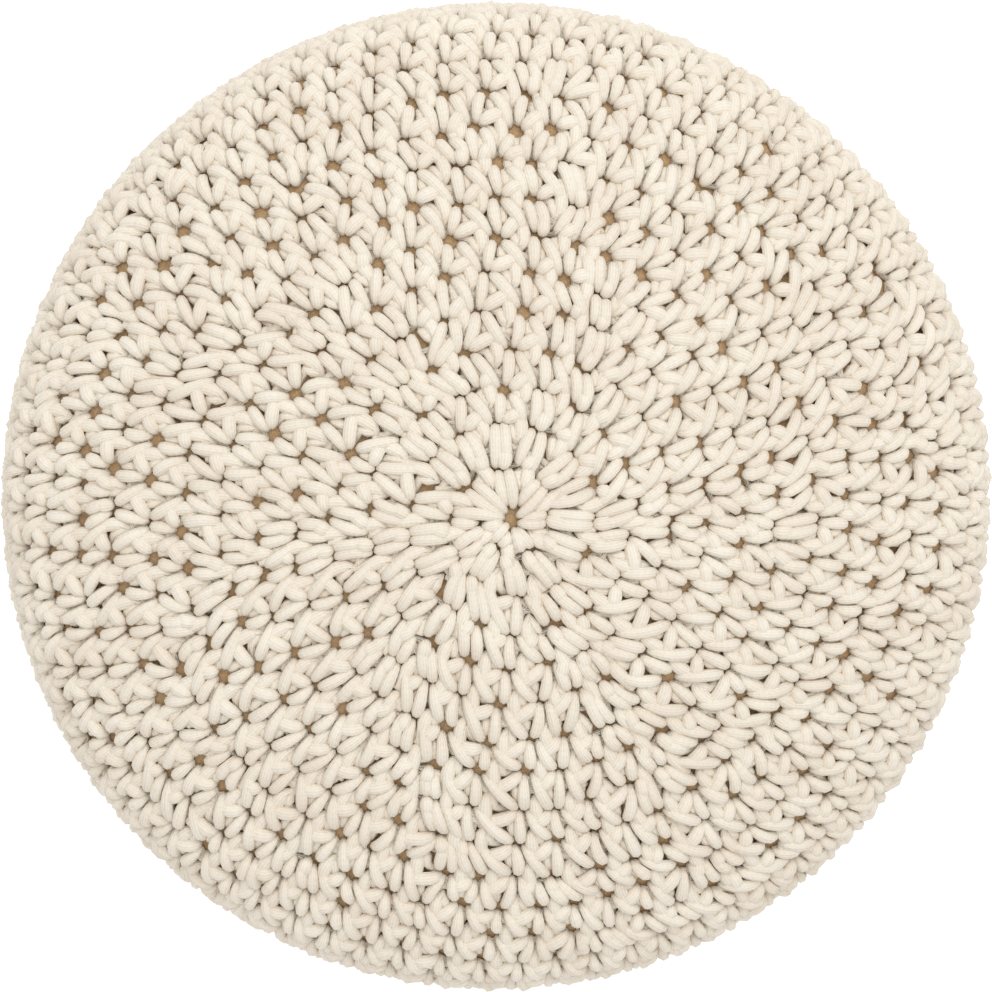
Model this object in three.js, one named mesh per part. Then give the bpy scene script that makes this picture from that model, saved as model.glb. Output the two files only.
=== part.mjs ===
// Round crocheted pouf: a cotton-cord cover, worked in one continuous spiral of
// single crochet, over a filled inner cushion that shows through the gaps.
// Millimetres, +Z up, origin on the floor under the middle.
import * as THREE from 'three';

// Overall form
const DIAMETER = 500;
const HEIGHT = 350;
const WIDEST_HEIGHT = 168;
const CROWN_RISE = 60;
const SIDE_BULGE = 3;
const SHOULDER_POWER = 11;
const BASE_POWER = 7.5;
// The side's bulge draws the edge of the base in a little further than this.
const BASE_DIAMETER = 380;
const SECTION_DIVISIONS = 1200;

// Crochet cover
const ROUND_PITCH = 18.5;
const FIRST_ROUND_RADIUS = 13.5;
const RIB_WIDTH = 9.5;
const RIB_DEPTH = 4;
const RIB_FADE_ROUNDS = 2;
const COVER_THICKNESS = 10;
const STEPS_PER_ROUND = 32;

// Openings in the cover: the eye where the spiral starts, and the gaps between stitches
const EYE = { width: 5, length: 9, sides: 8 };
const GAP = { width: 6.4, height: 6.4 };
const GAP_ROUNDS = [
  { round: 3, gaps: 12 },
  { round: 4, gaps: 15 },
  { round: 5, gaps: 18 },
  { round: 6, gaps: 21 },
  { round: 7, gaps: 24 },
  { round: 8, gaps: 27 },
  { round: 9, gaps: 30 },
];

// Inner cushion
const CUSHION_CLEARANCE = 0.3;

const EQUATOR_RADIUS = DIAMETER / 2;
const BULGE_SHARE = SIDE_BULGE / EQUATOR_RADIUS;
const BASE_RADIUS = BASE_DIAMETER / 2;
const TOP_REACH = HEIGHT - CROWN_RISE - WIDEST_HEIGHT;
const BASE_SHARE = Math.pow(BASE_RADIUS / EQUATOR_RADIUS, BASE_POWER);
const BOTTOM_REACH = WIDEST_HEIGHT / Math.pow(1 - BASE_SHARE, 1 / BASE_POWER);
const BASE_EDGE_ANGLE = Math.PI - Math.atan2(BASE_RADIUS, WIDEST_HEIGHT);

// Half section, from the middle of the crown over the shoulder to the edge of the flat base.
// It is a superellipse seen from its centre, rounder below than above, drawn in above and below
// its widest height by the side's bulge, with the crown's dome added to the top half.
class PoufSection extends THREE.Curve {
  getPoint(t, target = new THREE.Vector2()) {
    const angle = t * BASE_EDGE_ANGLE;
    const across = Math.sin(angle);
    const up = Math.cos(angle);
    const reach = up > 0 ? TOP_REACH : BOTTOM_REACH;
    const power = up > 0 ? SHOULDER_POWER : BASE_POWER;
    const spread = Math.pow(across / EQUATOR_RADIUS, power) + Math.pow(Math.abs(up) / reach, power);
    const distance = Math.pow(spread, -1 / power);
    const level = (distance * up) / reach;
    const radius = distance * across * (1 - BULGE_SHARE * level ** 2);
    const dome = up > 0 ? CROWN_RISE * (1 - (radius / EQUATOR_RADIUS) ** 2) : 0;
    return target.set(radius, WIDEST_HEIGHT + distance * up + dome);
  }
}

const section = new PoufSection();
section.arcLengthDivisions = SECTION_DIVISIONS;
const SECTION_LENGTH = section.getLength();
const BASE_EDGE_RADIUS = section.getPoint(1).x;
const ROUND_COUNT = Math.ceil((SECTION_LENGTH - FIRST_ROUND_RADIUS) / ROUND_PITCH) + 1;
const LAST_STEP = ROUND_COUNT * STEPS_PER_ROUND;

// Point and outward normal of the section at a run measured from the crown's middle.
// Past the base edge the run goes on inwards over the flat base.
function sectionAt(run) {
  if (run >= SECTION_LENGTH) {
    const point = new THREE.Vector2(BASE_EDGE_RADIUS - (run - SECTION_LENGTH), 0);
    return { point, normal: new THREE.Vector2(0, -1) };
  }
  const share = run / SECTION_LENGTH;
  const along = section.getTangentAt(share);
  return { point: section.getPointAt(share), normal: new THREE.Vector2(-along.y, along.x) };
}

// Point at a run and a step of the spiral, sunk below the outer form by a depth.
function spiralPoint(run, step, depth) {
  const { point, normal } = sectionAt(run);
  const radius = point.x - depth * normal.x;
  const angle = (2 * Math.PI * step) / STEPS_PER_ROUND;
  return new THREE.Vector3(
    radius * Math.cos(angle),
    radius * Math.sin(angle),
    point.y - depth * normal.y,
  );
}

const ribRun = (step) => FIRST_ROUND_RADIUS + (ROUND_PITCH * step) / STEPS_PER_ROUND;
const valleyRun = (step) => ribRun(step) + ROUND_PITCH / 2;

// The valleys between the rounds grow shallow towards the flat base.
function valleyDepth(run) {
  const roundsLeft = (SECTION_LENGTH - run) / ROUND_PITCH;
  return RIB_DEPTH * THREE.MathUtils.clamp(roundsLeft / RIB_FADE_ROUNDS, 0, 1);
}

// The spiral rows: the two edges of each round's rib, the valley beside it, and the two inner walls.
const ribStart = (step) => spiralPoint(ribRun(step) - RIB_WIDTH / 2, step, 0);
const ribEnd = (step) => spiralPoint(ribRun(step) + RIB_WIDTH / 2, step, 0);
const valley = (step) => spiralPoint(valleyRun(step), step, valleyDepth(valleyRun(step)));
const lining = (step) => spiralPoint(valleyRun(step), step, COVER_THICKNESS);
const casing = (step) => spiralPoint(valleyRun(step), step, COVER_THICKNESS + CUSHION_CLEARANCE);
const nextRib = (step) => ribStart(step + STEPS_PER_ROUND);
const nextLining = (step) => lining(step + STEPS_PER_ROUND);
const previousLining = (step) => lining(step - STEPS_PER_ROUND);
const nextCasing = (step) => casing(step + STEPS_PER_ROUND);

// Steps of the spiral whose valley edge holds a gap, spread evenly round each row of the table.
const gapSteps = new Set(GAP_ROUNDS.flatMap(({ round, gaps }) => Array.from(
  { length: gaps },
  (_, index) => {
    const stagger = (round % 2) / 2;
    return round * STEPS_PER_ROUND + Math.floor(((index + stagger) * STEPS_PER_ROUND) / gaps);
  },
)));

const halfway = (row, step) => row(step).lerp(row(step + 1), 0.5);

// The four corners of a gap on a row's edge: two on the edge, one towards each neighbouring row.
function gapCorners(row, before, after, step, spacing) {
  const middle = halfway(row, step);
  const alongShare = GAP.width / row(step).distanceTo(row(step + 1));
  const acrossShare = GAP.height / 2 / spacing;
  return {
    alongShare,
    acrossShare,
    start: middle.clone().lerp(row(step), alongShare),
    end: middle.clone().lerp(row(step + 1), alongShare),
    before: middle.clone().lerp(halfway(before, step), acrossShare),
    after: middle.clone().lerp(halfway(after, step), acrossShare),
  };
}

const valleyGap = (step) => gapCorners(valley, ribEnd, nextRib, step, (ROUND_PITCH - RIB_WIDTH) / 2);
const liningGap = (step) => gapCorners(lining, previousLining, nextLining, step, ROUND_PITCH);

// Faces of a flat outline, all turned the same way, as index triples.
function flatFaces(outline, holes = []) {
  const corners = [...outline, ...holes.flat()];
  return THREE.ShapeUtils.triangulateShape(outline, holes).map((face) => {
    const upright = THREE.ShapeUtils.area(face.map((index) => corners[index])) > 0;
    return upright ? face : [face[0], face[2], face[1]];
  });
}

// A closed skin, gathered as triangles.
class Skin {
  constructor() {
    this.positions = [];
  }

  addFace(a, b, c) {
    for (const corner of [a, b, c]) {
      this.positions.push(corner.x, corner.y, corner.z);
    }
  }

  addFaces(faces, points, outward) {
    for (const [a, b, c] of faces) {
      if (outward) {
        this.addFace(points[a], points[b], points[c]);
      } else {
        this.addFace(points[a], points[c], points[b]);
      }
    }
  }

  // One cell between two rows, with a gap's notch in its near or far edge where there is one.
  addCell(near, far, step, outward, nearGap, farGap) {
    const points = [near(step + 1)];
    const flat = [new THREE.Vector2(-1, 0)];
    const place = (point, x, y) => {
      points.push(point);
      flat.push(new THREE.Vector2(x, y));
    };
    if (nearGap) {
      place(nearGap.end, -(1 + nearGap.alongShare) / 2, 0);
      place(nearGap.after, -0.5, nearGap.acrossShare);
      place(nearGap.start, -(1 - nearGap.alongShare) / 2, 0);
    }
    place(near(step), 0, 0);
    place(far(step), 0, 1);
    if (farGap) {
      place(farGap.start, -(1 - farGap.alongShare) / 2, 1);
      place(farGap.before, -0.5, 1 - farGap.acrossShare);
      place(farGap.end, -(1 + farGap.alongShare) / 2, 1);
    }
    place(far(step + 1), -1, 1);
    this.addFaces(flatFaces(flat), points, outward);
  }

  // A cap over a loop of points, seen in plan, with an optional loop left open in it.
  addCap(loop, outward, openLoop = []) {
    const plan = (points) => points.map((point) => new THREE.Vector2(point.x, point.y));
    const holes = openLoop.length > 0 ? [plan(openLoop)] : [];
    this.addFaces(flatFaces(plan(loop), holes), [...loop, ...openLoop], outward);
  }

  // The wall of an opening, from its outer loop to its inner loop.
  addWall(outer, inner) {
    outer.forEach((corner, index) => {
      const next = (index + 1) % outer.length;
      this.addFace(corner, inner[index], outer[next]);
      this.addFace(outer[next], inner[index], inner[next]);
    });
  }

  toMesh(name, material) {
    const geometry = new THREE.BufferGeometry();
    geometry.setAttribute('position', new THREE.Float32BufferAttribute(this.positions, 3));
    geometry.computeVertexNormals();
    const mesh = new THREE.Mesh(geometry, material);
    mesh.name = name;
    return mesh;
  }
}

// Points of a row over one round, from its first step.
function roundOf(row, firstStep) {
  return Array.from({ length: STEPS_PER_ROUND + 1 }, (_, index) => row(firstStep + index));
}

// The oval loop of the eye at a depth below the crown, clockwise from above as the gaps' loops are.
function eyeLoop(depth) {
  return Array.from({ length: EYE.sides }, (_, index) => {
    const angle = (-2 * Math.PI * index) / EYE.sides;
    const x = (EYE.width / 2) * Math.cos(angle);
    const y = (EYE.length / 2) * Math.sin(angle);
    const { point } = sectionAt(Math.hypot(x, y));
    return new THREE.Vector3(x, y, point.y - depth);
  });
}

const gapLoop = (corners) => [corners.start, corners.before, corners.end, corners.after];

function crochetCover() {
  const skin = new Skin();
  const lastRound = LAST_STEP - STEPS_PER_ROUND;
  for (let step = 0; step < LAST_STEP; step += 1) {
    const gap = gapSteps.has(step) ? valleyGap(step) : null;
    skin.addCell(ribStart, ribEnd, step, true, null, null);
    skin.addCell(ribEnd, valley, step, true, null, gap);
    if (step < lastRound) {
      const liningNear = gap ? liningGap(step) : null;
      const nextStep = step + STEPS_PER_ROUND;
      const liningFar = gapSteps.has(nextStep) ? liningGap(nextStep) : null;
      skin.addCell(valley, nextRib, step, true, gap, null);
      skin.addCell(lining, nextLining, step, false, liningNear, liningFar);
    }
    if (gap) {
      skin.addWall(gapLoop(gap), gapLoop(liningGap(step)));
    }
  }
  const eyeTop = eyeLoop(0);
  const eyeBottom = eyeLoop(COVER_THICKNESS);
  skin.addCap([...roundOf(ribStart, 0), valley(0), ribEnd(0)], true, eyeTop);
  skin.addCap(roundOf(lining, 0), false, eyeBottom);
  skin.addWall(eyeTop, eyeBottom);
  skin.addCap([...roundOf(valley, lastRound), ribEnd(LAST_STEP), ribStart(LAST_STEP)], false);
  skin.addCap(roundOf(lining, lastRound), true);
  const cottonCord = new THREE.MeshStandardMaterial({ color: 0xece3d3, roughness: 0.9, metalness: 0 });
  return skin.toMesh('crochet_cover', cottonCord);
}

function innerCushion() {
  const skin = new Skin();
  const lastRound = LAST_STEP - STEPS_PER_ROUND;
  for (let step = 0; step < lastRound; step += 1) {
    skin.addCell(casing, nextCasing, step, true, null, null);
  }
  skin.addCap(roundOf(casing, 0), true);
  skin.addCap(roundOf(casing, lastRound), false);
  const tanCloth = new THREE.MeshStandardMaterial({ color: 0xc8ac86, roughness: 0.95, metalness: 0 });
  return skin.toMesh('inner_cushion', tanCloth);
}

const pouf = new THREE.Group();
pouf.add(crochetCover(), innerCushion());

export default pouf;
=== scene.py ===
# %% [markdown]
# A crocheted floor pouf, seen from above. The real one is a filled cushion in a tan casing, in a
# cover that is one thick cotton cord, crocheted in a spiral from the middle of the crown, over
# the shoulder, down the side and under the base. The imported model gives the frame: everything
# here is in metres, with the floor at zero and the pouf's axis up the middle.

import cmath
import math
from collections import namedtuple

import bpy
import numpy as np
from mathutils import Matrix, Vector


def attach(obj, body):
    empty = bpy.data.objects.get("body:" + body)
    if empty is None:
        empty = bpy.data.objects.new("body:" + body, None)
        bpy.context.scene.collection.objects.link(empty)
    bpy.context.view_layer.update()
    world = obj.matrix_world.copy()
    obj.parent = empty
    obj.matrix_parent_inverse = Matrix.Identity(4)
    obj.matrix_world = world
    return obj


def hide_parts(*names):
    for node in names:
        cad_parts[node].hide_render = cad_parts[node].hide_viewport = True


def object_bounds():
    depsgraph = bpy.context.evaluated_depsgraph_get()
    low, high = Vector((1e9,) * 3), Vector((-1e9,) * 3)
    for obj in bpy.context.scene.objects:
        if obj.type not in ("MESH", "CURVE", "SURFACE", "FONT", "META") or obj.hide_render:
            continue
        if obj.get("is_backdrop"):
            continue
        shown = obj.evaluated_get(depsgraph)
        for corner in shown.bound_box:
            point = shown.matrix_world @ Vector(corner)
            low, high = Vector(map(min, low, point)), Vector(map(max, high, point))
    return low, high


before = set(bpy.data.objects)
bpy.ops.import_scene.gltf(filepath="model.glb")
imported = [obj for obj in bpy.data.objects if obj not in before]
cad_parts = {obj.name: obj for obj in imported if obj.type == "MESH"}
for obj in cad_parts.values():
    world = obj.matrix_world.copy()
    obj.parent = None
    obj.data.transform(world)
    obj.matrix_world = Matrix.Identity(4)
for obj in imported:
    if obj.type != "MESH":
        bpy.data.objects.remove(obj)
cad_low, cad_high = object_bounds()
MM = 0.001
print("CAD box in mm:", [round(side / MM) for side in cad_high - cad_low])

# %% [markdown]
# The section is the half outline that the spiral climbs over: a domed crown, a round shoulder, a
# side that bulges a little, and a flat base. It could be drawn as a curve by hand, but the solids
# use a superellipse with a few named sizes, so the same formula here puts every cord exactly where
# the solids say. The section is kept as a table of radius and height against the run, which is the
# distance walked over the skin from the middle of the crown.

# %% The pouf's section
WIDEST_RADIUS = (cad_high.x - cad_low.x) / 2
POUF_HEIGHT = cad_high.z - cad_low.z
WIDEST_HEIGHT = 168 * MM
CROWN_RISE = 60 * MM
SIDE_BULGE = 3 * MM
BASE_RADIUS = 190 * MM
SHOULDER_POWER, BASE_POWER = 11.0, 7.5
SECTION_SAMPLES = 6000
CORNER_SOFTENING = 60


def trace_section():
    """Radius and height of the skin, from the crown's middle to the base's middle."""
    top_reach = POUF_HEIGHT - CROWN_RISE - WIDEST_HEIGHT
    base_share = (BASE_RADIUS / WIDEST_RADIUS) ** BASE_POWER
    base_reach = WIDEST_HEIGHT / (1 - base_share) ** (1 / BASE_POWER)
    angle = np.linspace(0, math.pi - math.atan2(BASE_RADIUS, WIDEST_HEIGHT), SECTION_SAMPLES)
    across, up = np.sin(angle), np.cos(angle)
    reach = np.where(up > 0, top_reach, base_reach)
    power = np.where(up > 0, SHOULDER_POWER, BASE_POWER)
    distance = ((across / WIDEST_RADIUS) ** power + (np.abs(up) / reach) ** power) ** (-1 / power)
    level = distance * up / reach
    radius = distance * across * (1 - SIDE_BULGE / WIDEST_RADIUS * level**2)
    rise = np.where(up > 0, CROWN_RISE * (1 - (radius / WIDEST_RADIUS) ** 2), 0)
    height = WIDEST_HEIGHT + distance * up + rise
    base = np.linspace(radius[-1], 0, SECTION_SAMPLES // 4)[1:]
    return np.append(radius, base), np.append(height, np.zeros_like(base))


def soften(values):
    """A running average that rounds the jump of the normals at the base's edge."""
    window = np.ones(CORNER_SOFTENING) / CORNER_SOFTENING
    padded = np.pad(values, CORNER_SOFTENING, mode="edge")
    return np.convolve(padded, window, mode="same")[CORNER_SOFTENING:-CORNER_SOFTENING]


skin_radius, skin_height = trace_section()
skin_run = np.append(0, np.cumsum(np.hypot(np.diff(skin_radius), np.diff(skin_height))))
normal_out = soften(-np.gradient(skin_height, skin_run))
normal_up = soften(np.gradient(skin_radius, skin_run))
base_edge_run = float(skin_run[SECTION_SAMPLES - 1])
base_middle_run = skin_run[-1]


def radius_at(run):
    """Radius of the skin at a run."""
    return np.interp(run, skin_run, skin_radius)


def place(turn, run, depth):
    """Points in the frame from the turn about the axis, the run and the depth under the skin."""
    radius = radius_at(run) - depth * np.interp(run, skin_run, normal_out)
    height = np.interp(run, skin_run, skin_height) - depth * np.interp(run, skin_run, normal_up)
    return np.stack([radius * np.cos(turn), radius * np.sin(turn), height], axis=-1)


print(f"section of {base_middle_run / MM:.0f} mm, base edge at {base_edge_run / MM:.0f} mm")

# %% [markdown]
# A crocheter pushes the hook through a hole of the round below for each new stitch. So the holes
# come first: they follow the spiral, one stitch apart, and each new hole remembers the hole of the
# round below that it was worked into. Where a round has more stitches than the one below, two
# share a hole, which is an increase, as on the real crown. The first rounds and the base are
# worked tighter, and the last round is drawn together. A fixed seed makes the hand uneven.

# %% Holes along the spiral
ROUND_PITCH = 18.5 * MM
STITCH_WIDTH = 19.1 * MM
FEWEST_STITCHES, MOST_STITCHES = 6, 76
SPIRAL_START_TURN = math.pi
SPIRAL_START_RUN = 16 * MM
FIRST_ROUND_CLIMB = 16 * MM
FIRST_ROUND_POWER = 2.2
EYE_RUN = 3.9 * MM
EYE_SQUEEZE = 2.2 * MM
EYE_SLANT = math.radians(65)
EYE_OPENING = 0.5
BASE_EYE = 12 * MM
GATHER_REACH = 40 * MM
LEAN, LEAN_SWING, LEAN_TURN = 0.2, 0.1, math.radians(120)
SETTLING = 0.8
HAND_ACROSS, HAND_ALONG = 0.07, 0.06
TIGHTEST_HOLE, WIDEST_HOLE, HOLE_SKEW = 0.45, 1.5, 1.3
Looseness = namedtuple("Looseness", "run factor")
LOOSENESS = (
    Looseness(0, 0.6),
    Looseness(110 * MM, 1.0),
    Looseness(230 * MM, 1.25),
    Looseness(base_edge_run - 20 * MM, 1.25),
    Looseness(base_edge_run, 0.1),
)
Hole = namedtuple("Hole", "turn run step open")
HAND_SEED = 11
hand = np.random.default_rng(HAND_SEED)


def spiral_run(turn):
    """Run of the spiral at a turn. The first round climbs slowly and then catches up."""
    rounds = (turn - SPIRAL_START_TURN) / math.tau
    climb = FIRST_ROUND_CLIMB * min(rounds, 1) ** FIRST_ROUND_POWER
    return SPIRAL_START_RUN + climb + ROUND_PITCH * max(rounds - 1, 0)


def stitch_step(run):
    """The turn from one stitch to the next."""
    count = math.tau * radius_at(run) / STITCH_WIDTH
    return math.tau / np.clip(count, FEWEST_STITCHES, MOST_STITCHES)


def hole_opening(run):
    """How far a hole is open: by chance, and by how loosely that part is worked."""
    opening = TIGHTEST_HOLE + (WIDEST_HOLE - TIGHTEST_HOLE) * hand.random() ** HOLE_SKEW
    runs, factors = zip(*LOOSENESS)
    return opening * np.interp(run, runs, factors)


def drawn_in(run):
    """The last round of the base is drawn together towards the middle."""
    left = base_middle_run - run
    return base_middle_run - left * min(1, left / GATHER_REACH)


def settle(turn, base_turn, step):
    """A stitch settles over its base, unless it is pushed aside by an increase."""
    aside = (turn - base_turn) / step
    return base_turn + step * aside * min(1, 2 * abs(aside)) ** SETTLING


def work_holes():
    """The holes along the spiral in the order that they are worked, each with its base."""
    made, bases = [], []
    turn, run = SPIRAL_START_TURN, SPIRAL_START_RUN
    while run < base_middle_run - BASE_EYE:
        step = stitch_step(run)
        lean = step * (LEAN + LEAN_SWING * math.cos(turn - LEAN_TURN))
        along = ROUND_PITCH * hand.normal(0, HAND_ALONG)
        across = step * hand.normal(0, HAND_ACROSS)
        if turn < SPIRAL_START_TURN + math.tau - step / 2:
            eye_run = EYE_RUN - EYE_SQUEEZE * math.sin(turn - EYE_SLANT) ** 2
            bases.append(Hole(turn + lean, eye_run, step, EYE_OPENING))
            settled = turn
        else:
            recent = made[-2 * MOST_STITCHES:]
            below = np.array([hole.turn for hole in recent]) + math.tau
            nearest = recent[int(np.argmin(np.abs(below - turn - lean)))]
            bases.append(nearest._replace(turn=nearest.turn + math.tau))
            settled = settle(turn, bases[-1].turn - lean, step)
        made.append(Hole(settled + across, drawn_in(run + along), step, hole_opening(run)))
        turn += step * (1 - lean / math.tau)
        run = spiral_run(turn)
    return made, bases


holes, bases = work_holes()
print(f"{len(holes)} stitches")

# %% [markdown]
# Each stitch shows three strands: a right leg and a left leg, which make the V, and a bar that
# comes out from under the left leg. Behind them the same cord runs on from hole to hole. One
# stitch could be modelled once and copied, but then every stitch would be alike and the cords
# would not join. Here the path of the one cord is worked out stitch by stitch: it comes up at one
# end of a strand, bends over, runs along the outside and dives again. These tables say how the bar
# and the strands behind the legs run, in shares of the bar, of a stitch's width and of the pitch.

# %% Tables of the bar and the strands behind
BarPoint = namedtuple("BarPoint", "share depth girth")
BAR = (
    BarPoint(1.35, 8.0 * MM, 0.75),
    BarPoint(1.05, 7.0 * MM, 1.00),
    BarPoint(0.80, 5.2 * MM, 1.10),
    BarPoint(0.50, 3.9 * MM, 1.13),
    BarPoint(0.22, 3.8 * MM, 1.12),
    BarPoint(0.02, 4.7 * MM, 1.02),
    BarPoint(-0.08, 6.6 * MM, 0.90),
    BarPoint(-0.12, 8.0 * MM, 0.75),
)
BackPoint = namedtuple("BackPoint", "right out depth girth")
BACK = (
    BackPoint(-0.68, -0.04, 7.6 * MM, 0.85),
    BackPoint(-0.60, -0.24, 6.6 * MM, 1.00),
    BackPoint(-0.52, -0.44, 7.6 * MM, 0.85),
    BackPoint(-0.42, -0.26, 6.2 * MM, 1.12),
    BackPoint(-0.42, -0.04, 5.6 * MM, 1.14),
    BackPoint(-0.47, 0.26, 6.4 * MM, 1.05),
    BackPoint(-0.50, 0.50, 6.4 * MM, 1.00),
    BackPoint(-0.40, 0.56, 7.9 * MM, 0.75),
)
LOOP = (
    BackPoint(0.07, -0.36, 7.8 * MM, 0.80),
    BackPoint(0.09, -0.52, 7.0 * MM, 1.00),
    BackPoint(0.11, -0.68, 7.0 * MM, 1.00),
    BackPoint(-0.02, -0.68, 7.9 * MM, 0.75),
)
PLAIN_BAR, PLAIN_BACK = BAR[1:-1], BACK[2:]
print(f"{len(BAR)} points on a bar, {len(BACK) + len(LOOP)} on the strands behind")

# %% [markdown]
# The legs are what the eye reads as crochet. Each one stands in the hole that it was worked into
# and leans to the hole above, plump in the middle and pinched where it dives. Its ends keep clear
# of the middle of each hole, and further clear where the hole is open, so that the gaps show. Two
# stitches that share a hole stand side by side in it. A straight way over the crown or the base is
# found with that part laid out flat, so that the legs near the middle don't curl.

# %% Path of the cord through the stitches
CORD_RADIUS = 3.15 * MM
DEEP = 8.0 * MM
RIGHT_LEG_DEPTH = 3.5 * MM
LEFT_LEG_DEPTH = 3.0 * MM
LEFT_LEG_BOW = 0.4 * MM
BOW_HAND, LIFT_HAND = 0.6 * MM, 0.3 * MM
HUMP_POWER = 1.9
LEG_TAPER = 0.1
END_PINCH, EYE_PINCH = 0.28, 0.5
EYE_HAND = 0.9 * MM
SHORT_PETAL = 1.2 * MM
FOOT_CLEAR, RIGHT_FOOT_SPREAD, LEFT_FOOT_SPREAD = 0.045, 0.095, 0.05
HEAD_CLEAR, RIGHT_HEAD_SPREAD, LEFT_HEAD_SPREAD = 0.075, 0.115, 0.125
RIGHT_HEAD_ASIDE, LEFT_HEAD_ASIDE, ASIDE_SPREAD = 0.09, 0.10, 0.07
BAR_START, BAR_ASIDE, BAR_OUT = 0.38, 0.20, 0.09
Detail = namedtuple("Detail", "steps sides ends backs")
FINE = Detail(steps=(0.5, 0.82, 0.97), sides=8, ends=True, backs=True)
MEDIUM = Detail(steps=(0.62, 0.94), sides=7, ends=False, backs=True)
COARSE = Detail(steps=(0.8,), sides=6, ends=False, backs=False)
LegFeet = namedtuple("LegFeet", "right left")
SINGLE = LegFeet(right=0.03, left=-0.24)
FIRST_OF_TWO = LegFeet(right=0.40, left=0.13)
SECOND_OF_TWO = LegFeet(right=-0.14, left=-0.42)
ROUND_THE_EYE = LegFeet(right=0.0, left=-0.5)


def spot(hole, right, out):
    """A place near a hole: right along the round, and out towards the next, in stitches."""
    return hole.turn - right * hole.step, hole.run + out * ROUND_PITCH


def between(first, second, share):
    """A place on the straight way between two places, with the crown or the base laid out flat."""
    pole = 0 if first[1] < base_middle_run / 2 else base_middle_run
    start, end = (cmath.rect(abs(run - pole), turn) for turn, run in (first, second))
    mixed = start + (end - start) * share
    return first[0] + cmath.phase(mixed / start), abs(pole - abs(mixed))


def sunk(step):
    """How far a strand has sunk on its way from its middle, 0, to its end, 1."""
    return 1 - (1 - step**HUMP_POWER) ** (1 / HUMP_POWER)


def over_strand(start, end, depth, bow, detail, start_pinch):
    """A strand that comes up at one place, humps over the outside and dives at another."""
    across = (end[0] - start[0]) * radius_at((start[1] + end[1]) / 2)
    length = math.hypot(across, end[1] - start[1])
    steps = [-1] + [-step for step in reversed(detail.steps)] + [0] + list(detail.steps) + [1]
    rows = []
    for step in steps:
        turn, run = between(start, end, (1 + step) / 2)
        swing = bow * (1 - step**2) / length
        turn -= swing * (end[1] - start[1]) / max(radius_at(run), EYE_RUN)
        run += swing * across
        down = sunk(abs(step))
        pinch = start_pinch if step < 0 else END_PINCH
        girth = (1 - pinch * down) * (1 + LEG_TAPER * step)
        rows.append((turn, run, depth + (DEEP - depth) * down, girth))
    return rows


def bar_strand(far, near, detail):
    """The bar: from under the left leg it rises to the outside and dives at the next hole."""
    points = BAR if detail.ends else PLAIN_BAR
    return [(*between(near, far, point.share), point.depth, point.girth) for point in points]


def back_strand(hole, points):
    """A strand behind the legs, near a hole."""
    return [(*spot(hole, point.right, point.out), point.depth, point.girth) for point in points]


def leg_feet(index):
    """Where the two legs of a stitch stand, by how many stitches share its hole."""
    if bases[index].run <= EYE_RUN:
        return ROUND_THE_EYE
    if index + 1 < len(bases) and bases[index + 1] == bases[index]:
        return FIRST_OF_TWO
    if index and bases[index - 1] == bases[index]:
        return SECOND_OF_TWO
    return SINGLE


def right_leg_ends(index):
    """The foot and the head of a stitch's right leg."""
    base, top = bases[index], holes[index]
    foot = spot(base, leg_feet(index).right, FOOT_CLEAR + RIGHT_FOOT_SPREAD * base.open)
    aside = RIGHT_HEAD_ASIDE + ASIDE_SPREAD * top.open
    return foot, spot(top, -aside, -HEAD_CLEAR - RIGHT_HEAD_SPREAD * top.open)


def left_leg_ends(index):
    """The foot and the head of a stitch's left leg, which leans to the next hole."""
    base, top = bases[index], holes[index + 1]
    foot = spot(base, leg_feet(index).left, FOOT_CLEAR + LEFT_FOOT_SPREAD * base.open)
    aside = LEFT_HEAD_ASIDE + ASIDE_SPREAD * top.open
    return foot, spot(top, aside, -HEAD_CLEAR - LEFT_HEAD_SPREAD * top.open)


def stitch_rows(index, detail):
    """The turn, run, depth and girth of the cord through one stitch."""
    base, next_base = bases[index], bases[index + 1]
    right_foot, right_head = right_leg_ends(index)
    left_foot, left_head = left_leg_ends(index)
    at_the_eye = base.run <= EYE_RUN
    pinch = EYE_PINCH if at_the_eye else END_PINCH
    if at_the_eye:
        right_foot = (right_foot[0], right_foot[1] + SHORT_PETAL + abs(hand.normal(0, EYE_HAND)))
        left_foot = (left_foot[0], left_foot[1] + abs(hand.normal(0, EYE_HAND)))
    rows = []
    if not at_the_eye:
        bar_end = spot(next_base, leg_feet(index + 1).right + BAR_ASIDE, BAR_OUT)
        rows += bar_strand(between(left_foot, left_head, BAR_START), bar_end, detail)
    if detail.backs and next_base != base and not at_the_eye:
        rows += back_strand(base, BACK if detail.ends else PLAIN_BACK)
    bow, lift = hand.normal(0, BOW_HAND), hand.normal(0, LIFT_HAND)
    rows += over_strand(right_foot, right_head, RIGHT_LEG_DEPTH + lift, bow, detail, pinch)
    bow, lift = LEFT_LEG_BOW + hand.normal(0, BOW_HAND), hand.normal(0, LIFT_HAND)
    rows += over_strand(left_foot, left_head, LEFT_LEG_DEPTH + lift, bow, detail, pinch)
    if detail.backs and not at_the_eye:
        rows += back_strand(holes[index + 1], LOOP)
    return rows


sharing = sum(leg_feet(index) is FIRST_OF_TWO for index in range(len(bases)))
print(f"{sharing} holes shared by two stitches")

# %% [markdown]
# The cord itself is a tube along that path. A curve with a bevel would do it, but a Geometry Nodes
# tree keeps the cord's radius, its sides and its unevenness as named inputs, and also writes a UV
# map that runs round and along the cord, which the cotton finish needs. Curve to Mesh takes no
# notice of a curve's own radius, so the girth of each point goes to its Scale socket, and that is
# what pinches the strands at their ends. The profile is an arc whose two ends meet, so that the
# map does not wrap back over the last face; the doubled edge is merged afterwards.

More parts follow.
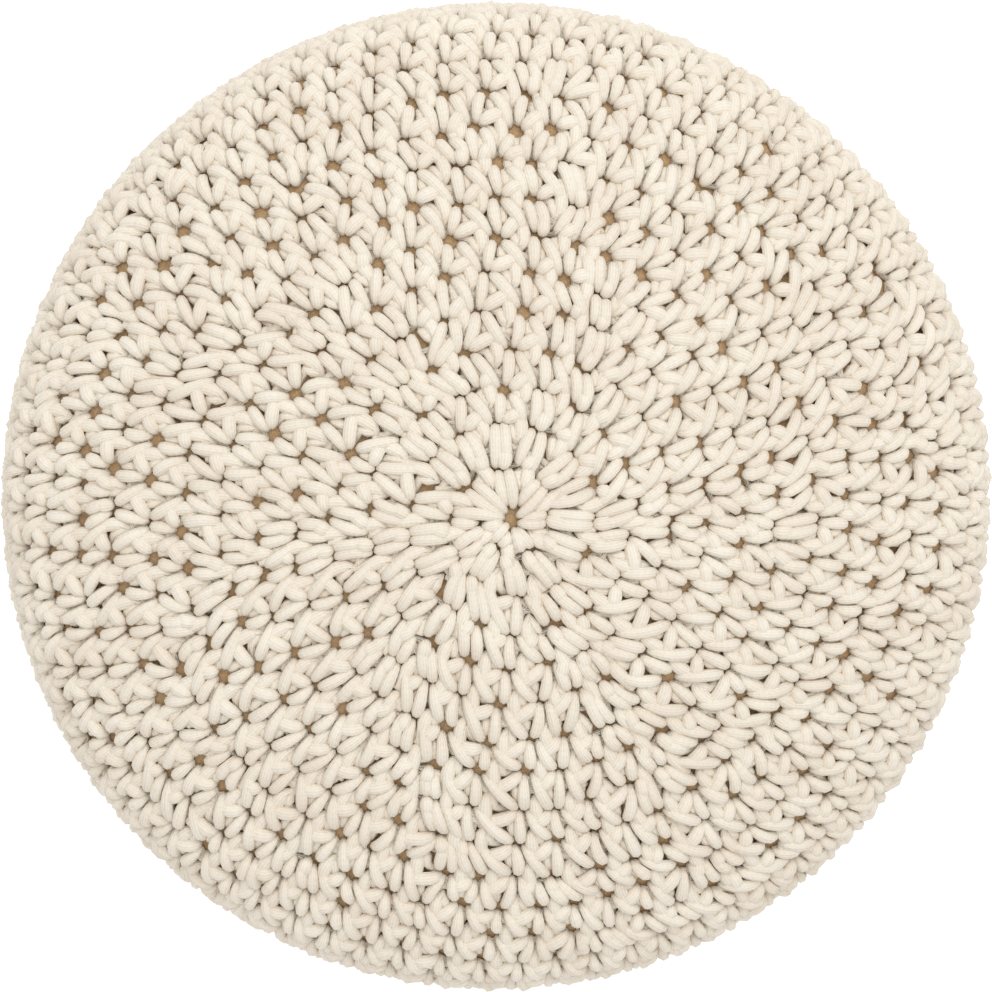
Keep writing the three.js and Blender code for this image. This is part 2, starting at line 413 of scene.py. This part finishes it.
# %% Geometry Nodes tree that sweeps the cord
CORD_INPUTS = (
    ("Cord Radius", "NodeSocketFloat"),
    ("Sides", "NodeSocketInt"),
    ("Unevenness", "NodeSocketFloat"),
    ("Material", "NodeSocketMaterial"),
)
SWELL_SCALE = 90.0
DOUBLED_EDGE = 1e-6


def add_node(tree, kind, settings=None, values=None, links=None):
    """A node with its settings, its sockets' values and the links into them."""
    node = tree.nodes.new(kind)
    for name, value in (settings or {}).items():
        setattr(node, name, value)
    for name, value in (values or {}).items():
        node.inputs[name].default_value = value
    for name, source in (links or {}).items():
        tree.links.new(source, node.inputs[name])
    return node


def add_math(tree, operation, first, second=0.0):
    """A math node on two sockets or numbers."""
    node = add_node(tree, "ShaderNodeMath", {"operation": operation})
    for socket, value in zip(node.inputs, (first, second)):
        if isinstance(value, bpy.types.NodeSocket):
            tree.links.new(value, socket)
        else:
            socket.default_value = value
    return node.outputs[0]


def store(tree, geometry, name, value, data_type="FLOAT", domain="POINT"):
    """The geometry with a value kept on it under a name."""
    node = add_node(tree, "GeometryNodeStoreNamedAttribute", {"data_type": data_type, "domain": domain},
                    {"Name": name}, {"Geometry": geometry, "Value": value})
    return node.outputs["Geometry"]


def recall(tree, name):
    """A number that was kept under a name."""
    node = add_node(tree, "GeometryNodeInputNamedAttribute", {"data_type": "FLOAT"}, {"Name": name})
    return node.outputs["Attribute"]


def uneven_girth(tree, unevenness):
    """The girth of each point of the path, swollen and shrunk a little by noise."""
    noise = add_node(tree, "ShaderNodeTexNoise", values={"Scale": SWELL_SCALE, "Detail": 1.0})
    swell = add_math(tree, "MULTIPLY", add_math(tree, "SUBTRACT", noise.outputs["Fac"], 0.5), unevenness)
    return add_math(tree, "MULTIPLY", add_math(tree, "ADD", swell, 1.0), recall(tree, "girth"))


def cord_tree():
    """The tree that turns a line of points into the swept cord."""
    tree = bpy.data.node_groups.new("sweep_cord", "GeometryNodeTree")
    tree.interface.new_socket(name="Path", in_out="INPUT", socket_type="NodeSocketGeometry")
    for name, kind in CORD_INPUTS:
        tree.interface.new_socket(name=name, in_out="INPUT", socket_type=kind)
    tree.interface.new_socket(name="Cord", in_out="OUTPUT", socket_type="NodeSocketGeometry")
    given = tree.nodes.new("NodeGroupInput").outputs
    path = add_node(tree, "GeometryNodeMeshToCurve", links={"Mesh": given["Path"]})
    spline = add_node(tree, "GeometryNodeSplineParameter")
    along = store(tree, path.outputs["Curve"], "along", spline.outputs["Length"])
    points = add_math(tree, "ADD", given["Sides"], 1)
    profile = add_node(tree, "GeometryNodeCurveArc", values={"Sweep Angle": math.tau},
                       links={"Resolution": points, "Radius": given["Cord Radius"]})
    around = store(tree, profile.outputs["Curve"], "around", spline.outputs["Factor"])
    scale = uneven_girth(tree, given["Unevenness"])
    tube = add_node(tree, "GeometryNodeCurveToMesh",
                    links={"Curve": along, "Profile Curve": around, "Scale": scale})
    once_round = add_math(tree, "MULTIPLY", given["Cord Radius"], math.tau)
    turns = add_math(tree, "DIVIDE", recall(tree, "along"), once_round)
    flat = add_node(tree, "ShaderNodeCombineXYZ", links={"X": recall(tree, "around"), "Y": turns})
    mapped = store(tree, tube.outputs["Mesh"], "UVMap", flat.outputs["Vector"], "FLOAT2", "CORNER")
    closed = add_node(tree, "GeometryNodeMergeByDistance", values={"Distance": DOUBLED_EDGE},
                      links={"Geometry": mapped})
    smooth = add_node(tree, "GeometryNodeSetShadeSmooth", links={"Geometry": closed.outputs["Geometry"]})
    real = add_node(tree, "GeometryNodeRealizeInstances", links={"Geometry": smooth.outputs["Geometry"]})
    finish = add_node(tree, "GeometryNodeSetMaterial",
                      links={"Geometry": real.outputs["Geometry"], "Material": given["Material"]})
    output = tree.nodes.new("NodeGroupOutput")
    tree.links.new(finish.outputs["Geometry"], output.inputs["Cord"])
    return tree


sweep_cord = cord_tree()
print("tree", sweep_cord.name, "with inputs", [name for name, kind in CORD_INPUTS])

# %% [markdown]
# The cord is undyed cotton with a fine knitted skin: thin ribs along it, crossed by small slanting
# stitches. Those are far too many to model, so they are bump on the cord's own UV map, with a soft
# change of tone from place to place, small flecks, and painted shade that darkens the ribs' grooves.

# %% Cotton cord finish
# The third number is how dark the colour gets in the groove between two ribs: painted shade.
CORD_RIBS, RIB_ROUNDING, GROOVE_PAINTED_SHADE = 12.0, 0.6, 0.94
KNIT_ROWS, KNIT_SLANT, KNIT_RELIEF = 8.0, 0.9, 0.18
FIBRE_SCALE, FIBRE_RELIEF = (60.0, 14.0, 1.0), 0.5
PATCH_SCALE = 45.0
SPECK_SCALE, SPECK_SHADE = 1400.0, 0.93
COTTON_TONES = ((0.84, 0.75, 0.63, 1), (0.90, 0.83, 0.715, 1))
TONE_ENDS = (0.3, 0.7)
# A Mix node has several sockets of one name, so its colour sockets go by number.
MIX_FIRST, MIX_SECOND, MIX_RESULT = 6, 7, 2


def new_material(name, roughness, specular):
    """A node material with its shader's roughness and specular level set."""
    material = bpy.data.materials.new(name)
    material.use_nodes = True
    shader = material.node_tree.nodes["Principled BSDF"]
    shader.inputs["Roughness"].default_value = roughness
    shader.inputs["Specular IOR Level"].default_value = specular
    return material, material.node_tree, shader


def place_noise(tree, scale):
    """Noise by the place on the object."""
    places = add_node(tree, "ShaderNodeTexCoord")
    noise = add_node(tree, "ShaderNodeTexNoise", values={"Scale": scale, "Detail": 2.0},
                     links={"Vector": places.outputs["Object"]})
    return noise.outputs["Fac"]


def tone_ramp(tree, source, tones):
    """A soft change between two tones."""
    ramp = add_node(tree, "ShaderNodeValToRGB", links={"Fac": source})
    for element, position, tone in zip(ramp.color_ramp.elements, TONE_ENDS, tones):
        element.position = position
        element.color = tone
    return ramp.outputs["Color"]


def add_bump(tree, shader, height, strength, distance):
    """Bump on a shader from a height."""
    bump = add_node(tree, "ShaderNodeBump", values={"Strength": strength, "Distance": distance},
                    links={"Height": height})
    tree.links.new(bump.outputs["Normal"], shader.inputs["Normal"])


def cotton_cord():
    """Undyed cotton cord with a knitted skin, and painted shade in the grooves between its ribs."""
    material, tree, shader = new_material("cotton_cord", roughness=0.9, specular=0.2)
    shader.inputs["Sheen Weight"].default_value = 0.12
    shader.inputs["Sheen Roughness"].default_value = 0.6
    uv = add_node(tree, "ShaderNodeUVMap", {"uv_map": "UVMap"}).outputs["UV"]
    split = add_node(tree, "ShaderNodeSeparateXYZ", links={"Vector": uv})
    column = add_math(tree, "MULTIPLY", split.outputs["X"], CORD_RIBS)
    across = add_math(tree, "MULTIPLY", add_math(tree, "PINGPONG", column, 0.5), 2.0)
    rib = add_math(tree, "POWER", across, RIB_ROUNDING)
    slant = add_math(tree, "MULTIPLY", add_math(tree, "PINGPONG", column, 1.0), KNIT_SLANT)
    along = add_math(tree, "ADD", add_math(tree, "MULTIPLY", split.outputs["Y"], KNIT_ROWS), slant)
    knit = add_math(tree, "SINE", add_math(tree, "MULTIPLY", along, math.tau))
    skin = add_math(tree, "ADD", rib, add_math(tree, "MULTIPLY", knit, KNIT_RELIEF))
    fibres = add_node(tree, "ShaderNodeMapping", values={"Scale": FIBRE_SCALE}, links={"Vector": uv})
    fuzz = add_node(tree, "ShaderNodeTexNoise", values={"Scale": 1.0, "Detail": 3.0},
                    links={"Vector": fibres.outputs["Vector"]})
    height = add_math(tree, "ADD", skin, add_math(tree, "MULTIPLY", fuzz.outputs["Fac"], FIBRE_RELIEF))
    add_bump(tree, shader, height, strength=0.55, distance=0.4 * MM)
    # Painted shade: the colour darkens towards each groove between two ribs, and is multiplied with the
    # flecks.
    painted_groove_shade = add_node(tree, "ShaderNodeMapRange", values={"To Min": GROOVE_PAINTED_SHADE}, links={"Value": rib})
    fleck = add_node(tree, "ShaderNodeMapRange",
                     values={"From Min": TONE_ENDS[0], "From Max": TONE_ENDS[1], "To Min": SPECK_SHADE},
                     links={"Value": place_noise(tree, SPECK_SCALE)})
    flecks_and_painted_shade = add_math(tree, "MULTIPLY", fleck.outputs["Result"], painted_groove_shade.outputs["Result"])
    tone = tone_ramp(tree, place_noise(tree, PATCH_SCALE), COTTON_TONES)
    speckled = add_node(tree, "ShaderNodeMix", {"data_type": "RGBA", "blend_type": "MULTIPLY"},
                        {"Factor": 1.0})
    tree.links.new(tone, speckled.inputs[MIX_FIRST])
    tree.links.new(flecks_and_painted_shade, speckled.inputs[MIX_SECOND])
    tree.links.new(speckled.outputs[MIX_RESULT], shader.inputs["Base Color"])
    return material


cord_finish = cotton_cord()
print("finish", cord_finish.name)

# %% [markdown]
# The cover is cut into a few pieces by the run, so that no mesh gets too heavy. The crown and the
# shoulder, which the photograph shows, get the finest cord, and the hidden base gets the plainest.

# %% Sweep the crochet cover
CoverPiece = namedtuple("CoverPiece", "name start detail")
COVER_PIECES = (
    CoverPiece("crochet_crown", 0, FINE),
    CoverPiece("crochet_shoulder", 190 * MM, FINE),
    CoverPiece("crochet_side_upper", 268 * MM, MEDIUM),
    CoverPiece("crochet_side_middle", 370 * MM, MEDIUM),
    CoverPiece("crochet_side_lower", 472 * MM, MEDIUM),
    CoverPiece("crochet_base", base_edge_run, COARSE),
)
UNEVENNESS = 0.22
LOWEST_CORD = 1.18 * CORD_RADIUS


def add_object(name, mesh):
    """A new object in the scene, at the origin."""
    made = bpy.data.objects.new(name, mesh)
    bpy.context.scene.collection.objects.link(made)
    return made


def plain_mesh(name, source):
    """A new object with the evaluated mesh of another, which is removed."""
    graph = bpy.context.evaluated_depsgraph_get()
    mesh = bpy.data.meshes.new_from_object(source.evaluated_get(graph))
    bpy.data.objects.remove(source)
    mesh.name = name
    return add_object(name, mesh)


def swept_cord(name, rows, sides):
    """A piece of cord along rows of turn, run, depth and girth, which closes to a point at its ends."""
    turn, run, depth, girth = np.array(rows, dtype=float).T
    girth[[0, -1]] = 0
    points = place(turn, run, depth)
    points[:, 2] = np.maximum(points[:, 2], LOWEST_CORD)
    mesh = bpy.data.meshes.new(name + "_path")
    mesh.from_pydata(points.tolist(), [(i, i + 1) for i in range(len(points) - 1)], [])
    mesh.attributes.new("girth", "FLOAT", "POINT").data.foreach_set("value", girth)
    path = add_object(name + "_path", mesh)
    modifier = path.modifiers.new("sweep cord", "NODES")
    modifier.node_group = sweep_cord
    values = {"Cord Radius": CORD_RADIUS, "Sides": sides, "Unevenness": UNEVENNESS, "Material": cord_finish}
    for item in sweep_cord.interface.items_tree:
        if item.name in values:
            modifier[item.identifier] = values[item.name]
    return plain_mesh(name, path)


def piece_number(run):
    """Which piece of the cover a stitch at a run belongs to."""
    return sum(run >= piece.start for piece in COVER_PIECES) - 1


rows_of_piece = [[] for piece in COVER_PIECES]
for index in range(len(holes) - 1):
    number = piece_number(holes[index].run)
    rows_of_piece[number] += stitch_rows(index, COVER_PIECES[number].detail)

cover_pieces = []
for piece, rows in zip(COVER_PIECES, rows_of_piece):
    cord = swept_cord(piece.name, rows, piece.detail.sides)
    cover_pieces.append(cord)
    triangles = sum(len(face.vertices) - 2 for face in cord.data.polygons)
    print(f"{piece.name}: {triangles} triangles")

# %% [markdown]
# Under the crochet is the casing of the inner cushion, plain-woven tan cloth that shows only
# through the gaps. A cloth simulation could blow it up, but the tight cover holds it to its own
# shape, so it is a turned skin a little below the cords, with a weave in its finish.

# %% Inner casing
CASING_DEPTH = 10.0 * MM
CASING_RINGS, CASING_SPOKES = 84, 128
CASING_FLAT_RADIUS, CASING_SIDE_RADIUS = 200 * MM, 240 * MM
CASING_TONES = ((0.50, 0.33, 0.18, 1), (0.65, 0.46, 0.265, 1))
CASING_PATCH_SCALE = 700.0
THREAD_TURN = 5200.0


def tan_cloth():
    """Plain-woven tan cloth."""
    material, tree, shader = new_material("inner_casing", roughness=0.95, specular=0.1)
    uv = add_node(tree, "ShaderNodeUVMap", {"uv_map": "UVMap"}).outputs["UV"]
    split = add_node(tree, "ShaderNodeSeparateXYZ", links={"Vector": uv})
    warp, weft = (add_math(tree, "SINE", add_math(tree, "MULTIPLY", split.outputs[way], THREAD_TURN))
                  for way in "XY")
    add_bump(tree, shader, add_math(tree, "MULTIPLY", warp, weft), strength=0.4, distance=0.3 * MM)
    tone = tone_ramp(tree, place_noise(tree, CASING_PATCH_SCALE), CASING_TONES)
    tree.links.new(tone, shader.inputs["Base Color"])
    return material


def casing_faces(top, bottom):
    """Faces between the rings of the casing, and from its first and last ring to the poles."""
    last = (CASING_RINGS - 1) * CASING_SPOKES
    faces = []
    for spoke in range(CASING_SPOKES):
        after = (spoke + 1) % CASING_SPOKES
        faces.append((top, spoke, after))
        for here in range(0, last, CASING_SPOKES):
            below = here + CASING_SPOKES
            faces.append((here + spoke, below + spoke, below + after, here + after))
        faces.append((last + after, last + spoke, bottom))
    return faces


def cloth_place(x, y, z):
    """Where a point lies on the casing's cloth, which is flat at both ends and wraps the side."""
    if math.hypot(x, y) < CASING_FLAT_RADIUS:
        return x, y
    return math.atan2(y, x) * CASING_SIDE_RADIUS, z


def turned_casing():
    """The casing as rings of points about the axis, closed at both poles."""
    runs = np.linspace(0, base_middle_run, CASING_RINGS + 2)[1:-1]
    turns = np.arange(CASING_SPOKES) * math.tau / CASING_SPOKES
    rings = [place(turns, np.full(CASING_SPOKES, run), CASING_DEPTH) for run in runs]
    poles = place(np.zeros(2), np.array([0, base_middle_run]), CASING_DEPTH)
    points = np.concatenate(rings + [poles])
    mesh = bpy.data.meshes.new("inner_cushion_casing")
    mesh.from_pydata(points.tolist(), [], casing_faces(len(points) - 2, len(points) - 1))
    mesh.polygons.foreach_set("use_smooth", np.ones(len(mesh.polygons), dtype=bool))
    cloth = mesh.uv_layers.new(name="UVMap")
    for loop in mesh.loops:
        cloth.uv[loop.index].vector = cloth_place(*mesh.vertices[loop.vertex_index].co)
    mesh.materials.append(tan_cloth())
    return add_object("inner_cushion_casing", mesh)


casing = turned_casing()
print("casing with", len(casing.data.polygons), "faces")

# %% [markdown]
# Every piece rides on the one body, and the solid that it stands for is hidden. The casing holds
# the filling.

# %% Tie the pieces to the frame
for cord in cover_pieces:
    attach(cord, "root")
    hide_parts("crochet_cover")
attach(casing, "root")
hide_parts("inner_cushion")
print(len(cover_pieces) + 1, "pieces")

# %% [markdown]
# The photograph shows the pouf on pure white, in even light. The floor is plain and glows a
# little, so that it comes out nearly white under the pouf's shadow. A broad light hangs overhead,
# a smaller one stands towards the top of the picture, and a white world fills the shadows.

# %% Floor and light
FLOOR_SIZE = 8.0
FLOOR_GLOW = 0.32
WORLD_STRENGTH = 0.78
LIGHT_AIM = Vector((0, 0, 0.3))
WHITE = (1, 1, 1, 1)


def white_floor():
    """A plain, nearly white floor."""
    half = FLOOR_SIZE / 2
    corners = [(-half, -half, 0), (half, -half, 0), (half, half, 0), (-half, half, 0)]
    mesh = bpy.data.meshes.new("floor")
    mesh.from_pydata(corners, [], [(0, 1, 2, 3)])
    material, _, shader = new_material("floor_white", roughness=0.9, specular=0.5)
    shader.inputs["Base Color"].default_value = (0.9, 0.9, 0.9, 1)
    shader.inputs["Emission Color"].default_value = WHITE
    shader.inputs["Emission Strength"].default_value = FLOOR_GLOW
    mesh.materials.append(material)
    add_object("floor", mesh)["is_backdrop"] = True


def soft_light(name, stand, size, power):
    """A square area light that points at the pouf."""
    data = bpy.data.lights.new(name, "AREA")
    data.size = size
    data.energy = power
    light = add_object(name, data)
    light.location = stand
    light.rotation_euler = (LIGHT_AIM - stand).to_track_quat("-Z", "Y").to_euler()
    light.visible_camera = False


def white_room():
    """A plain white world."""
    world = bpy.data.worlds.new("white_room")
    world.use_nodes = True
    background = world.node_tree.nodes["Background"]
    background.inputs["Color"].default_value = WHITE
    background.inputs["Strength"].default_value = WORLD_STRENGTH
    bpy.context.scene.world = world
    bpy.context.scene.view_settings.view_transform = "Standard"


white_floor()
soft_light("key", Vector((0.25, 1.2, 2.1)), size=1.4, power=14)
soft_light("overhead", Vector((0, 0, 2.8)), size=2.2, power=13)
white_room()
print("lights", [light.name for light in bpy.data.lights])

# %% [markdown]
# The photograph looks down from almost straight above. Its rows lie closer together towards the
# lower right rim, and the eye of the crown is off the middle of the outline, which gives the
# camera's lean and the side that it leans to.

# %% Camera
CAMERA_LEAN = math.radians(6.5)
CAMERA_SIDE = Vector((-0.574, 0.819, 0))
CAMERA_DISTANCE = 1.9
CAMERA_LENS = 134.0
AIM = Vector((0.0015, -0.0022, 0.2))


def overhead_camera():
    """The camera at the photograph's angle, with the photograph's up as +Y."""
    back = CAMERA_SIDE.normalized() * math.sin(CAMERA_LEAN) + Vector((0, 0, math.cos(CAMERA_LEAN)))
    right = Vector((0, 1, 0)).cross(back).normalized()
    up = back.cross(right)
    data = bpy.data.cameras.new("camera")
    data.lens = CAMERA_LENS
    camera = add_object("camera", data)
    turn = Matrix((right, up, back)).transposed().to_4x4()
    camera.matrix_world = Matrix.Translation(AIM + back * CAMERA_DISTANCE) @ turn
    bpy.context.scene.camera = camera
    return camera


camera = overhead_camera()
print("camera at", [round(number, 3) for number in camera.matrix_world.translation])

# %% [markdown]
# The looks don't change the pouf's size: the cords stand proud of the solids by a fraction of a
# millimetre at most. How far they reach past the solids is printed.

# %% Sizes
low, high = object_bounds()
proud = max(max(cad_low - low), max(high - cad_high))
print(f"the cords reach {proud / MM:.1f} mm past the solids")
